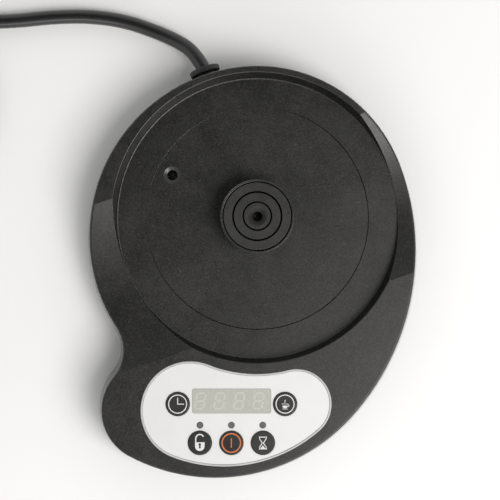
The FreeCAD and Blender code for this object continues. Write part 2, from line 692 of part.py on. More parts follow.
def indicator_leds():
    places = panel_places(LAMPS)
    return [block(LED_L, LED_L, CONTROL_TOP_Z, CONTROL_TOP_Z + LED_H, p.x, p.y) for p in places]


# ---- control board ----
def control_board():
    board = slab(PANEL, -CONTROL_BOARD_INSET, CONTROL_BOARD_Z, CONTROL_TOP_Z)
    for place in CONTROL_POSTS:
        board = board.cut(rod(BOARD_SCREW_R + 0.15, 0, DECK_Z, place.x, place.y))
    return board


def board_screw(place, seat_z, up):
    """Small screw whose head bears on seat_z; up is its shank, and a negative one points down."""
    low, high = sorted((seat_z, seat_z + up))
    head_low, head_high = sorted((seat_z, seat_z - math.copysign(BOARD_HEAD_H, up)))
    head = rod(BOARD_HEAD_R, head_low, head_high, place.x, place.y)
    return head.fuse(rod(BOARD_SCREW_R, low, high, place.x, place.y))


def board_screws():
    up = [board_screw(place, CONTROL_BOARD_Z, BOARD_T + 5.0) for place in CONTROL_POSTS]
    down = [board_screw(place, POWER_TOP_Z, -BOARD_T - 2.2) for place in power_places(POWER_POSTS)]
    return up + down


def control_header_place():
    return at(PANEL_X + 30.0, PANEL_Y + 7.0)


def controller_chip():
    place = at(PANEL_X - 14.0, PANEL_Y - 8.0)
    return block(CHIP_L, CHIP_L, CONTROL_BOARD_Z - CHIP_H, CONTROL_BOARD_Z, place.x, place.y)


def board_headers():
    upper, lower = control_header_place(), power_header_place()
    return [
        block(HEADER_L, HEADER_W, CONTROL_BOARD_Z - HEADER_H, CONTROL_BOARD_Z, upper.x, upper.y),
        block(HEADER_L, HEADER_W, POWER_TOP_Z, POWER_TOP_Z + HEADER_H, lower.x, lower.y),
    ]


# ---- power board ----
def power_places(places):
    """Places on the power board, from its middle, as places in the base."""
    along, across = polar(1, POWER_TURN), polar(1, POWER_TURN + 90)
    return [POWER_MIDDLE + along * x + across * y for x, y in places]


def power_board():
    blank = block(POWER_L, POWER_W, POWER_BOARD_Z, POWER_TOP_Z)
    board = turned(blank, POWER_TURN, POWER_MIDDLE.x, POWER_MIDDLE.y)
    for place in power_places(POWER_POSTS):
        board = board.cut(rod(BOARD_SCREW_R + 0.15, 0, DECK_Z, place.x, place.y))
    return board


def on_power_board(part):
    """Box-shaped component: place on the board, length, width and height."""
    x, y, length, width, height = part
    place = power_places([(x, y)])[0]
    shape = block(length, width, POWER_TOP_Z, POWER_TOP_Z + height)
    edges = [e for e in shape.Edges if e.BoundBox.ZMax > POWER_TOP_Z + 0.1]
    return turned(shape.makeFillet(0.5, edges), POWER_TURN, place.x, place.y)


def round_component(place, radius, height):
    spot = power_places([place])[0]
    shape = rod(radius, POWER_TOP_Z, POWER_TOP_Z + height, spot.x, spot.y)
    edges = [e for e in shape.Edges if e.BoundBox.ZMin > POWER_TOP_Z + height - 0.01]
    return shape.makeFillet(0.5, edges)


def buzzer():
    spot = power_places([BUZZER_AT])[0]
    case = round_component(BUZZER_AT, BUZZER_R, BUZZER_H)
    return case.cut(rod(1.0, POWER_TOP_Z + 3, DECK_Z, spot.x, spot.y))


def power_header_place():
    return power_places([(-12.0, -13.0)])[0]


def ribbon_cable():
    """Flat cable between the two headers, from side face to side face."""
    start, end = control_header_place(), power_header_place()
    high = CONTROL_BOARD_Z - HEADER_H / 2
    low = POWER_TOP_Z + HEADER_H / 2
    first, last = start.y + HEADER_W / 2, end.y - HEADER_W / 2
    third = (last - first) / 3
    x = (start.x + end.x) / 2
    line = [(first, high), (first + third, high), (last - third, low), (last, low)]
    over = [at(x - RIBBON_W / 2, y, z + RIBBON_T / 2) for y, z in line]
    under = [at(x - RIBBON_W / 2, y, z - RIBBON_T / 2) for y, z in reversed(line)]
    return Part.Face(Part.makePolygon(over + under + over[:1])).extrude(at(RIBBON_W, 0, 0))


# ---- mains entry ----
def strain_relief():
    """Rubber bush on the cord: a flange outside the wall, a neck in it and a tapered tail inside."""
    wall_face = BUSH_FACE - BUSH_FLANGE_T
    flange = exit_rod(BUSH_FLANGE_R, wall_face, BUSH_FACE)
    rim = [e for e in flange.Edges if abs(e.Length - 2 * math.pi * BUSH_FLANGE_R) < 0.1]
    flange = flange.makeFillet(0.9, rim)
    neck = exit_rod(BUSH_NECK_R, wall_face - WALL - 2, wall_face)
    tail = exit_rod(BUSH_END_R, BUSH_END, wall_face - WALL - 2, BUSH_NECK_R)
    return joined([flange, neck, tail])


def cord_inner_end():
    return exit_rod(CORD_R, JACKET_END, BUSH_END)


def clamp_screw_places():
    reach = CORD_R + CLAMP_T + CLAMP_EAR / 2
    return [exit_point(CLAMP_AT, side * reach) for side in (1, -1)]


def clamp_seat():
    """Pad on the tray's floor that the cord lies on and the clamp is screwed to."""
    reach = CORD_R + CLAMP_T + CLAMP_EAR
    pad = block(CLAMP_W, 2 * reach, FLOOR_Z - 0.5, EXIT_Z - CORD_R)
    place = exit_point(CLAMP_AT)
    return turned(pad, EXIT_DIR, place.x, place.y)


def cord_clamp():
    low = EXIT_Z - CORD_R
    reach = CORD_R + CLAMP_T + CLAMP_EAR
    foot = block(CLAMP_W, 2 * reach, low, low + CLAMP_T)
    arch_r = CORD_R + 0.05
    arch = Part.makeCylinder(arch_r + CLAMP_T, CLAMP_W, at(-CLAMP_W / 2, 0, EXIT_Z), at(1, 0, 0))
    legs = block(CLAMP_W, 2 * (arch_r + CLAMP_T), low, EXIT_Z)
    hole = Part.makeCylinder(arch_r, CLAMP_W, at(-CLAMP_W / 2, 0, EXIT_Z), at(1, 0, 0))
    way = block(CLAMP_W, 2 * arch_r, low, EXIT_Z)
    under = block(CLAMP_W, 2 * reach, low - 20, low)
    place = exit_point(CLAMP_AT)
    clamp = turned(joined([foot, arch, legs]).cut(hole).cut(way).cut(under), EXIT_DIR, place.x, place.y)
    for spot in clamp_screw_places():
        clamp = clamp.cut(rod(SCREW_R + 0.2, low - 1, low + CLAMP_T + 1, spot.x, spot.y))
    return clamp


def clamp_screws():
    seat = EXIT_Z - CORD_R + CLAMP_T
    return [rod(SCREW_HEAD_R - 0.2, seat, seat + 1.8, p.x, p.y).fuse(rod(SCREW_R, FLOOR_Z, seat, p.x, p.y))
            for p in clamp_screw_places()]


def terminal_block():
    shape = block(TERMINAL_W, TERMINAL_L, FLOOR_Z, FLOOR_Z + TERMINAL_H)
    for side in (-1, 0, 1):
        shape = shape.cut(rod(1.6, FLOOR_Z + TERMINAL_H - 3, DECK_Z, 0, side * WIRE_PITCH))
    place = exit_point(TERMINAL_AT)
    return turned(shape, EXIT_DIR, place.x, place.y)


def routed_tube(points, radius, name=None):
    """Round tube along straight runs joined by tangent arcs, each as large as its runs allow."""
    route = [at(*p) for p in points]
    edges = []
    start = route[0]
    for before, corner, after in zip(route, route[1:], route[2:]):
        back, ahead = before - corner, after - corner
        run = min(back.Length, ahead.Length)
        half_turn = (math.pi - back.getAngle(ahead)) / 2
        bend = 0.45 * run / math.tan(half_turn)
        if name:
            print(f"{name}: arc radius {bend:.1f} mm")
        back.normalize()
        ahead.normalize()
        reach = 0.45 * run
        enter, leave = corner + back * reach, corner + ahead * reach
        inward = back + ahead
        inward.normalize()
        middle = corner + inward * (bend / math.cos(half_turn) - bend)
        edges.append(Part.LineSegment(start, enter).toShape())
        edges.append(Part.Arc(enter, middle, leave).toShape())
        start = leave
    edges.append(Part.LineSegment(start, route[-1]).toShape())
    path = Part.Wire(edges)
    first = route[1] - route[0]
    section = Part.Wire(Part.Circle(route[0], first, radius).toShape())
    shape = path.makePipeShell([section], True, False)
    if name:
        share = shape.Volume / (math.pi * radius**2 * path.Length)
        print(f"{name}: {path.Length:.1f} mm long, volume {share:.4f} of section times length")
    return shape


def entry_wires():
    """The cord's three cores, from its jacket to the terminal block."""
    wires = []
    for side in (-1, 0, 1):
        near = exit_point(JACKET_END, side * 2.3)
        far = exit_point(TERMINAL_AT + TERMINAL_W / 2, side * WIRE_PITCH, FLOOR_Z + 4)
        line = far - near
        wires.append(Part.makeCylinder(WIRE_R, line.Length, near, line))
    return wires


def wire_start(side):
    place = exit_point(TERMINAL_AT - TERMINAL_W / 2, side * WIRE_PITCH, FLOOR_Z + 2.4)
    return (place.x, place.y, place.z)


def live_wires():
    """Terminal block to the relay's board, and from the board to the live contact."""
    z = FLOOR_Z + 2.4
    start = wire_start(-1)
    board = power_places([(-POWER_L / 2, 8.0), (-POWER_L / 2, 2.0)])
    tab = polar(LIVE_SLOT_R + CONTACT_T / 2, CONTACT_DIRS["live"])
    lead = power_places([(-POWER_L / 2 - 9.0, 8.0), (-POWER_L / 2 - 7.0, 2.0)])
    near = polar(LIVE_SLOT_R + 8.0, CONTACT_DIRS["live"])
    supply = [start, (7.5, 22.5, z), (20.5, 8.0, z), (24.5, -12.0, z),
              (lead[0].x, lead[0].y, z), (board[0].x, board[0].y, z + 0.3)]
    switched = [(board[1].x, board[1].y, z + 0.3), (lead[1].x, lead[1].y, z),
                (near.x, near.y, z - 0.3), (tab.x, tab.y, z - 0.3)]
    return [routed_tube(supply, WIRE_R), routed_tube(switched, WIRE_R)]


def neutral_wire():
    tab = polar(NEUTRAL_SLOT_R + CONTACT_T / 2, CONTACT_DIRS["neutral"])
    near = polar(NEUTRAL_SLOT_R + 8.0, CONTACT_DIRS["neutral"])
    z = FLOOR_Z + 2.4
    start = wire_start(0)
    return routed_tube([start, (-5.5, 21.5, z), (near.x, near.y, z), (tab.x, tab.y, z)], WIRE_R)


def earth_wire():
    z = FLOOR_Z + 2.4
    start = wire_start(1)
    end_z = z - 0.5
    return routed_tube([start, (-17.0, 17.5, z), (-10.0, 0.0, end_z), (-CONTACT_T / 2, 0.0, end_z)], WIRE_R)


# ---- cord ----
def power_cord():
    start = exit_point(BUSH_FACE)
    return routed_tube([(start.x, start.y, start.z), *CORD_ROUTE], CORD_R, "power_cord")


def cord_tail():
    return routed_tube(CORD_TAIL, CORD_R, "cord_tail")


def cord_coil():
    """Outer shape of three turns of cord, two on the table and one on them."""
    half = CORD_D
    high = CORD_D * (1 + math.sqrt(3) / 2)
    outer, inner = COIL_MID_R + half, COIL_MID_R - half
    lift = 0.02
    shape = lathe([
        (inner, lift), (outer, lift), (outer, CORD_D * 0.75), (outer - CORD_R, high),
        (inner + CORD_R, high), (inner, CORD_D * 0.75),
    ])
    shape.translate(at(COIL_X, COIL_Y))
    return shape


def plug_axis_part(radius, start, end, end_radius=None):
    """Round piece on the plug's axis; start and end are measured from the cord's end."""
    place = at(PLUG_END[0], PLUG_END[1] - start, PLUG_END[2])
    if end_radius is None:
        return Part.makeCylinder(radius, end - start, place, at(0, -1, 0))
    return Part.makeCone(radius, end_radius, end - start, place, at(0, -1, 0))


def plug_body():
    front = PLUG_SLEEVE_L + PLUG_L
    head = plug_axis_part(PLUG_R, front - 13.0, front)
    rims = [e for e in head.Edges if abs(e.Length - 2 * math.pi * PLUG_R) < 0.1]
    head = head.makeFillet(1.2, rims)
    neck = plug_axis_part(PLUG_NECK_R, PLUG_SLEEVE_L, front - 12.9, PLUG_R - 1.6)
    sleeve = plug_axis_part(PLUG_SLEEVE_R, 0, PLUG_SLEEVE_L, PLUG_NECK_R)
    body = joined([sleeve, neck, head])
    for side in (-1, 1):
        x = PLUG_END[0] + side * (PLUG_FLAT + 5)
        y = PLUG_END[1] - front + 10
        body = body.cut(Part.makeBox(10, 20, 5.4, at(x - 5, y - 10, PLUG_END[2] - 2.7)))
    return body


def plug_pins():
    front = PLUG_SLEEVE_L + PLUG_L
    pins = []
    for side in (-1, 1):
        pin = plug_axis_part(PLUG_PIN_R, front, front + PLUG_PIN_L)
        tip = [e for e in pin.Edges if e.BoundBox.YMax < PLUG_END[1] - front - PLUG_PIN_L + 0.01]
        pin = pin.makeFillet(1.4, tip)
        pin.translate(at(0, 0, side * PLUG_PIN_PITCH / 2))
        pins.append(pin)
    return pins


def plug_earth_clips():
    front = PLUG_SLEEVE_L + PLUG_L
    clips = []
    for side in (-1, 1):
        x = PLUG_END[0] + side * (PLUG_FLAT + EARTH_CLIP_T / 2)
        y = PLUG_END[1] - front
        clips.append(Part.makeBox(EARTH_CLIP_T, 12.0, EARTH_CLIP_W,
                                  at(x - EARTH_CLIP_T / 2, y + 0.5, PLUG_END[2] - EARTH_CLIP_W / 2)))
    return clips


def save(node, shapes):
    solids = []
    for shape in shapes if isinstance(shapes, list) else [shapes]:
        solids.extend(shape.Solids)
    for solid in solids:
        if not solid.isValid():
            raise ValueError(f"{node} is not a valid solid")
    whole = solids[0] if len(solids) == 1 else Part.makeCompound(solids)
    whole.exportStep(f"parts/{node}.step")
    print(f"{node}: {len(solids)} solid(s), {whole.Volume:.1f} mm3")


def main():
    os.makedirs("parts", exist_ok=True)
    save("top_cover", top_cover())
    save("base_tray", base_tray())
    save("rubber_feet", rubber_feet())
    save("housing_screws", housing_screws())
    save("rating_label", rating_label())
    save("connector_body", connector_body())
    save("contact_live", ring_contact(LIVE_SLOT_R, CONTACT_DIRS["live"]))
    save("contact_neutral", ring_contact(NEUTRAL_SLOT_R, CONTACT_DIRS["neutral"]))
    save("contact_earth", earth_contact())
    save("connector_retainer", connector_retainer())
    save("connector_screws", connector_screws())
    save("panel_trim", panel_trim())
    save("panel_plate", panel_plate())
    save("display_window", display_window())
    save("display_module", display_module())
    for name, place in zip(BUTTONS, panel_places(BUTTONS.values())):
        save(f"button_{name}", button_cap(place))
        save(f"plunger_{name}", switch_plunger(place))
    save("push_switches", push_switches())
    save("indicator_lenses", indicator_lenses())
    save("indicator_leds", indicator_leds())
    save("control_board", control_board())
    save("controller_chip", controller_chip())
    save("board_headers", board_headers())
    save("board_screws", board_screws())
    save("power_board", power_board())
    save("relay", on_power_board(RELAY))
    save("filter_capacitor", on_power_board(FILTER_CAPACITOR))
    save("transformer", on_power_board(TRANSFORMER))
    save("smoothing_capacitor", round_component(CAPACITOR_AT, CAPACITOR_R, CAPACITOR_H))
    save("buzzer", buzzer())
    save("ribbon_cable", ribbon_cable())
    save("strain_relief", strain_relief())
    save("cord_inner_end", cord_inner_end())
    save("cord_clamp", cord_clamp())
    save("clamp_screws", clamp_screws())
    save("terminal_block", terminal_block())
    save("entry_wires", entry_wires())
    save("live_wires", live_wires())
    save("neutral_wire", neutral_wire())
    save("earth_wire", earth_wire())
    save("power_cord", power_cord())
    save("cord_coil", cord_coil())
    save("cord_tail", cord_tail())
    save("plug_body", plug_body())
    save("plug_pins", plug_pins())
    save("plug_earth_clips", plug_earth_clips())


main()
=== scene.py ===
import json
import math

import bpy
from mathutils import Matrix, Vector


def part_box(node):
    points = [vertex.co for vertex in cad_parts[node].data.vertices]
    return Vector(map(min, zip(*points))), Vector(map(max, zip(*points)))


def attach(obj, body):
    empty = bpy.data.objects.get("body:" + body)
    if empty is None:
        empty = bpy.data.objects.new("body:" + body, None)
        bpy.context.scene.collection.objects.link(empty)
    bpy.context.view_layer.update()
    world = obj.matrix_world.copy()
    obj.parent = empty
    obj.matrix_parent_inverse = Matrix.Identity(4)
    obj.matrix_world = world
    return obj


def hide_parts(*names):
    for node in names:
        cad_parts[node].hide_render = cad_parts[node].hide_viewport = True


# Looks of a kettle's power base. Metres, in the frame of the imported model: the origin is the
# connector's axis on the table, +Z up, +Y to the back.

MM = 0.001


# ---- small helpers ----
def mm(*values):
    return Vector([v * MM for v in values])


def polar(radius, degrees, z=0.0):
    """Point in millimetres from a radius and a direction."""
    turn = math.radians(degrees)
    return (radius * math.cos(turn), radius * math.sin(turn), z)


def mesh_piece(name, points, faces, material, smooth=True):
    """Mesh object from points in metres."""
    mesh = bpy.data.meshes.new(name)
    mesh.from_pydata([tuple(p) for p in points], [], faces)
    mesh.validate()
    mesh.update()
    for polygon in mesh.polygons:
        polygon.use_smooth = smooth
    piece = bpy.data.objects.new(name, mesh)
    bpy.context.scene.collection.objects.link(piece)
    mesh.materials.append(material)
    return piece


def aim(thing, place, target):
    thing.location = place
    thing.rotation_euler = (target - place).to_track_quat("-Z", "Y").to_euler()


# ---- materials ----
class Shader:
    """A material made of nodes around one principled shader."""

    def __init__(self, name, **values):
        self.material = bpy.data.materials.new(name)
        self.material.use_nodes = True
        self.tree = self.material.node_tree
        self.body = self.tree.nodes["Principled BSDF"]
        for socket, value in values.items():
            self.body.inputs[socket.replace("_", " ")].default_value = value
        self.place = self.tree.nodes.new("ShaderNodeTexCoord").outputs["Object"]

    def node(self, kind, **inputs):
        made = self.tree.nodes.new("ShaderNode" + kind)
        for socket, value in inputs.items():
            made.inputs[socket.replace("_", " ")].default_value = value
        return made

    def link(self, output, target):
        self.tree.links.new(output, target)

    def noise(self, scale, detail=3.0, roughness=0.6, distortion=0.0, place=None):
        made = self.node("TexNoise", Scale=scale, Detail=detail, Roughness=roughness, Distortion=distortion)
        self.link(place or self.place, made.inputs["Vector"])
        return made.outputs["Fac"]

    def cells(self, scale, randomness=1.0, feature="F1"):
        made = self.node("TexVoronoi", Scale=scale, Randomness=randomness)
        made.feature = feature
        self.link(self.place, made.inputs["Vector"])
        return made.outputs["Distance"]

    def ramp(self, value, low, high, start=0.0, end=1.0):
        """Value from start to end as the input goes from low to high."""
        made = self.node("MapRange")
        made.inputs["From Min"].default_value = low
        made.inputs["From Max"].default_value = high
        made.inputs["To Min"].default_value = start
        made.inputs["To Max"].default_value = end
        self.link(value, made.inputs["Value"])
        return made.outputs["Result"]

    def mix(self, factor, first, second):
        """Colour between two colours, each a tuple or another node's output."""
        made = self.tree.nodes.new("ShaderNodeMix")
        made.data_type = "RGBA"
        self.link(factor, made.inputs["Factor"])
        for socket, colour in (("A", first), ("B", second)):
            target = [i for i in made.inputs if i.name == socket and i.type == "RGBA"][0]
            if isinstance(colour, tuple):
                target.default_value = (*colour, 1.0)
            else:
                self.link(colour, target)
        return [o for o in made.outputs if o.type == "RGBA"][0]

    def math(self, operation, first, second):
        made = self.tree.nodes.new("ShaderNodeMath")
        made.operation = operation
        for i, value in enumerate((first, second)):
            if isinstance(value, (int, float)):
                made.inputs[i].default_value = value
            else:
                self.link(value, made.inputs[i])
        return made.outputs[0]

    def colour(self, output):
        self.link(output, self.body.inputs["Base Color"])

    def roughness(self, output):
        self.link(output, self.body.inputs["Roughness"])

    def bump(self, height, strength, distance, share=None):
        made = self.node("Bump", Strength=strength, Distance=distance)
        if share is not None:
            self.link(self.math("MULTIPLY", share, strength), made.inputs["Strength"])
        previous = self.body.inputs["Normal"].links
        if previous:
            self.link(previous[0].from_socket, made.inputs["Normal"])
        self.link(height, made.inputs["Height"])
        self.link(made.outputs["Normal"], self.body.inputs["Normal"])


def moulded(name, dark, light, gloss, grain=900.0, depth=0.00006, spread=0.06, strength=0.5):
    """Moulded plastic with a fine eroded grain and a faint mottling."""
    made = Shader(name)
    cloud = made.noise(55.0, 4.0, 0.7)
    speck = made.noise(grain * 1.6, 2.0, 0.5)
    shade = made.math("ADD", made.math("MULTIPLY", cloud, 0.6), made.math("MULTIPLY", speck, 0.4))
    made.colour(made.mix(made.ramp(shade, 0.35, 0.65), dark, light))
    made.roughness(made.ramp(cloud, 0.3, 0.7, gloss - spread, gloss + spread))
    made.bump(made.cells(grain), strength, depth)
    made.bump(made.noise(grain * 2.3, 2.0, 0.5), strength * 0.6, depth)
    return made


def housing_black():
    """Spark-eroded black plastic on the upward faces, polished on the upright sides, with fine dust."""
    made = Shader("housing_black", Specular_IOR_Level=0.66)
    facing = made.tree.nodes.new("ShaderNodeSeparateXYZ")
    made.link(made.tree.nodes.new("ShaderNodeNewGeometry").outputs["Normal"], facing.inputs[0])
    flat = made.ramp(facing.outputs["Z"], 0.74, 0.93)
    cloud = made.noise(38.0, 5.0, 0.72)
    speck = made.noise(1150.0, 3.0, 0.6)
    shade = made.math("ADD", made.math("MULTIPLY", cloud, 0.3), made.math("MULTIPLY", speck, 0.7))
    base = made.mix(made.ramp(shade, 0.43, 0.6), (0.001, 0.0009, 0.0007), (0.0175, 0.0166, 0.015))
    dust = made.ramp(made.noise(950.0, 1.0, 0.4), 0.7, 0.8)
    dust = made.math("MULTIPLY", dust, flat)
    made.colour(made.mix(dust, base, (0.05, 0.048, 0.045)))
    eroded = made.ramp(made.noise(90.0, 4.0, 0.7), 0.3, 0.7, 0.37, 0.47)
    made.roughness(made.math("ADD", made.math("MULTIPLY", made.math("SUBTRACT", eroded, 0.1), flat), 0.1))
    made.bump(made.cells(1500.0), 0.5, 0.00005, flat)
    made.bump(made.noise(2800.0, 2.0, 0.6), 0.4, 0.00005, flat)
    return made.material


def metal(name, colour, gloss, brushed=0.0):
    made = Shader(name, Metallic=1.0)
    wear = made.noise(240.0, 4.0, 0.65)
    dull = tuple(c * 0.72 for c in colour)
    made.colour(made.mix(made.ramp(wear, 0.35, 0.65), dull, colour))
    made.roughness(made.ramp(wear, 0.3, 0.7, gloss - 0.07, gloss + 0.09))
    made.bump(made.noise(900.0 + brushed, 3.0, 0.6), 0.25, 0.00003)
    return made.material


def plain_plastic(name, colour, gloss, depth=0.00003, grain=700.0, change=0.82):
    dark = tuple(c * change for c in colour)
    return moulded(name, dark, colour, gloss, grain, depth, 0.04, 0.3).material


def printed_ink(name, colour, gloss=0.5):
    made = Shader(name)
    worn = made.noise(1300.0, 3.0, 0.6)
    made.colour(made.mix(made.ramp(worn, 0.3, 0.7), tuple(c * 0.86 for c in colour), colour))
    made.roughness(made.ramp(worn, 0.3, 0.7, gloss - 0.05, gloss + 0.07))
    return made.material


def panel_white():
    """Satin white label with a very fine orange peel."""
    made = Shader("panel_white", Coat_Weight=0.15, Coat_Roughness=0.25)
    cloud = made.noise(30.0, 3.0, 0.6)
    made.colour(made.mix(made.ramp(cloud, 0.3, 0.7), (0.70, 0.695, 0.685), (0.73, 0.725, 0.715)))
    made.roughness(made.ramp(made.noise(120.0, 3.0, 0.6), 0.3, 0.7, 0.36, 0.46))
    made.bump(made.noise(1100.0, 2.0, 0.5), 0.12, 0.00003)
    return made.material


def cord_black():
    """Satin PVC jacket with shallow lengthwise drawing marks."""
    made = Shader("cord_black", Coat_Weight=0.45, Coat_Roughness=0.24)
    cloud = made.noise(60.0, 4.0, 0.65)
    fine = made.noise(1200.0, 2.0, 0.5)
    made.colour(made.mix(made.ramp(cloud, 0.3, 0.7), (0.005, 0.0049, 0.0048), (0.0095, 0.0093, 0.009)))
    made.roughness(made.ramp(fine, 0.3, 0.7, 0.27, 0.36))
    made.bump(fine, 0.35, 0.00004)
    made.bump(made.noise(140.0, 3.0, 0.5), 0.25, 0.0002)
    return made.material


def window_grey():
    """Tinted translucent window over the digits."""
    made = Shader("window_grey", Coat_Weight=0.35, Coat_Roughness=0.12)
    cloud = made.noise(45.0, 3.0, 0.6)
    made.colour(made.mix(made.ramp(cloud, 0.3, 0.7), (0.435, 0.44, 0.395), (0.465, 0.47, 0.42)))
    made.roughness(made.ramp(made.noise(400.0, 2.0, 0.5), 0.3, 0.7, 0.22, 0.3))
    made.bump(made.noise(900.0, 2.0, 0.5), 0.06, 0.00002)
    return made.material


def board_green():
    """Solder mask with faint tracks under it."""
    made = Shader("board_green", Coat_Weight=0.4, Coat_Roughness=0.2)
    stripes = made.node("TexWave", Scale=190.0, Distortion=3.5, Detail=2.0)
    stripes.wave_type = "BANDS"
    made.link(made.place, stripes.inputs["Vector"])
    track = made.ramp(stripes.outputs["Fac"], 0.55, 0.6)
    made.colour(made.mix(track, (0.012, 0.085, 0.03), (0.03, 0.17, 0.06)))
    made.roughness(made.ramp(made.noise(300.0), 0.3, 0.7, 0.3, 0.42))
    made.bump(track, 0.25, 0.00005)
    return made.material


def winding_yellow(name, colour):
    """Taped or dipped part: bands of slightly different yellow."""
    made = Shader(name)
    bands = made.node("TexWave", Scale=160.0, Distortion=0.6, Detail=1.0)
    made.link(made.place, bands.inputs["Vector"])
    tone = made.ramp(bands.outputs["Fac"], 0.2, 0.8)
    made.colour(made.mix(tone, tuple(c * 0.75 for c in colour), colour))
    made.roughness(made.ramp(made.noise(500.0), 0.3, 0.7, 0.35, 0.5))
    made.bump(bands.outputs["Fac"], 0.2, 0.0001)
    return made.material


def make_materials():
    """One material for each slot of the record."""
    return {
        "housing_black": housing_black(),
        "foot_rubber": plain_plastic("foot_rubber", (0.024, 0.024, 0.024), 0.8, 0.00008),
        "screw_steel": metal("screw_steel", (0.52, 0.52, 0.53), 0.34),
        "label_silver": plain_plastic("label_silver", (0.45, 0.45, 0.46), 0.42),
        "connector_black": moulded(
            "connector_black", (0.017, 0.0165, 0.016), (0.028, 0.0275, 0.0265), 0.42, 1000.0).material,
        # painted shade: the contacts' brass is darkened far below brass's own colour, so the contacts read
        # as dark as the shade inside the connector's holes
        "contact_brass": metal("contact_brass", (0.1, 0.085, 0.055), 0.45),
        # painted reflection: the silver trim is a non-metal light grey whose lightness stands in for the
        # bright reflection of its chrome-look finish; the grey tone itself is the trim's own
        "trim_silver": plain_plastic("trim_silver", (0.54, 0.54, 0.53), 0.36),
        "panel_white": panel_white(),
        "window_grey": window_grey(),
        "module_black": plain_plastic("module_black", (0.03, 0.03, 0.032), 0.35),
        "component_black": plain_plastic("component_black", (0.025, 0.025, 0.025), 0.4),
        "lens_grey": plain_plastic("lens_grey", (0.135, 0.133, 0.13), 0.28, 0.00001),
        "led_white": plain_plastic("led_white", (0.8, 0.8, 0.74), 0.35),
        "board_green": board_green(),
        "header_white": plain_plastic("header_white", (0.72, 0.7, 0.64), 0.45),
        "relay_blue": plain_plastic("relay_blue", (0.03, 0.1, 0.36), 0.32),
        "capacitor_yellow": winding_yellow("capacitor_yellow", (0.7, 0.5, 0.05)),
        "transformer_yellow": winding_yellow("transformer_yellow", (0.75, 0.58, 0.12)),
        "ribbon_grey": winding_yellow("ribbon_grey", (0.42, 0.42, 0.43)),
        "bush_rubber": plain_plastic("bush_rubber", (0.021, 0.0205, 0.02), 0.5, 0.00006),
        "cord_black": cord_black(),
        "wire_grey": plain_plastic("wire_grey", (0.3, 0.3, 0.3), 0.45),
        "wire_brown": plain_plastic("wire_brown", (0.17, 0.07, 0.025), 0.45),
        "wire_blue": plain_plastic("wire_blue", (0.02, 0.1, 0.42), 0.45),
        "wire_green": plain_plastic("wire_green", (0.1, 0.36, 0.05), 0.45),
        "plug_black": moulded(
            "plug_black", (0.013, 0.013, 0.0125), (0.022, 0.0215, 0.021), 0.44, 800.0).material,
        "pin_nickel": metal("pin_nickel", (0.78, 0.76, 0.7), 0.2),
        "button_black": moulded(
            "button_black", (0.012, 0.012, 0.0115), (0.02, 0.0195, 0.019), 0.38, 1400.0, 0.00004).material,
        "plunger_grey": plain_plastic("plunger_grey", (0.2, 0.2, 0.2), 0.45),
    }


def dress(frame, materials):
    """Every node of the frame gets its slot's material."""
    slots = {s["node"]: s["material_slot"] for s in frame["record"]["subparts"]}
    for node, thing in frame["nodes"].items():
        thing.data.materials.clear()
        thing.data.materials.append(materials[slots[node]])


# ---- cord ----
CORD_D = 7.3
CORD_R = CORD_D / 2
CORD_EXIT = (-27.14, 76.64, 10.25)
CORD_ROUTE = (
    (-31.9, 84.9, 8.8), (-39.5, 90.9, 6.1), (-51.2, 96.5, 4.1), (-67.4, 102.3, 3.7),
    (-86.3, 105.0, 3.7), (-106.0, 104.5, 3.7), (-124.4, 102.4, 3.7), (-142.4, 102.0, 3.7),
    (-160.0, 103.4, 3.7),
)
CORD_TAIL = (
    (-203.6, 18.6, 9.6), (-197.6, 8.6, 11.6), (-194.9, -3.6, 14.6), (-194.4, -16.2, 17.4),
    (-194.5, -29.5, 18.4), (-194.5, -42.5, 18.4),
)
COIL_X = -183.0
COIL_Y = 60.5
COIL_START = 90.0        # direction in which the cord joins the coil
COIL_STEP = 20.0         # 18 points in each turn
# (degrees wound, radius, height of the centreline): outer turn, inner turn, then on top of both
COIL_LAY = (
    (0.0, 43.3, 3.7), (310.0, 43.3, 3.7), (360.0, 36.0, 3.7), (620.0, 36.0, 3.7),
    (670.0, 38.4, 10.6), (725.0, 39.7, 10.6), (760.0, 39.7, 9.97), (830.0, 40.2, 9.97),
    (870.0, 43.6, 9.97),
)


def wound(turn):
    """Radius and height of the coil after some degrees, eased between the stops."""
    for (start, r0, z0), (end, r1, z1) in zip(COIL_LAY, COIL_LAY[1:]):
        if turn <= end:
            share = (turn - start) / (end - start)
            share = share * share * (3 - 2 * share)
            return r0 + (r1 - r0) * share, z0 + (z1 - z0) * share
    return COIL_LAY[-1][1:]


def coil_points():
    """Control points of the turns; they stand out a little, because the curve cuts inside them."""
    outward = 1 / math.cos(math.radians(COIL_STEP / 2))
    found = []
    count = int((COIL_LAY[-1][0] - COIL_STEP / 2) / COIL_STEP)
    for i in range(count):
        turn = COIL_STEP * (i + 0.5)
        radius, z = wound(turn)
        x, y, _ = polar(radius * outward, COIL_START + turn)
        found.append((COIL_X + x, COIL_Y + y, z))
    return found


def make_cord(materials):
    points = [CORD_EXIT, *CORD_ROUTE, *coil_points(), *CORD_TAIL]
    curve = bpy.data.curves.new("mains_cord", "CURVE")
    curve.dimensions = "3D"
    spline = curve.splines.new("NURBS")
    spline.points.add(len(points) - 1)
    for target, point in zip(spline.points, points):
        target.co = (*mm(*point), 1.0)
    spline.order_u = 3
    spline.use_endpoint_u = True
    spline.resolution_u = 8
    curve.bevel_depth = CORD_R * MM
    curve.bevel_resolution = 7
    curve.use_fill_caps = True
    cord = bpy.data.objects.new("mains_cord", curve)
    bpy.context.scene.collection.objects.link(cord)
    curve.materials.append(materials["cord_black"])
    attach(cord, "base")
    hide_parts("power_cord", "cord_coil", "cord_tail")
    return cord


# ---- printed symbols, digits and small parts ----
INK_T = 0.05             # thickness of the ink
INK_SINK = 0.02          # and how far it reaches into what it lies on
RING_POINTS = 64


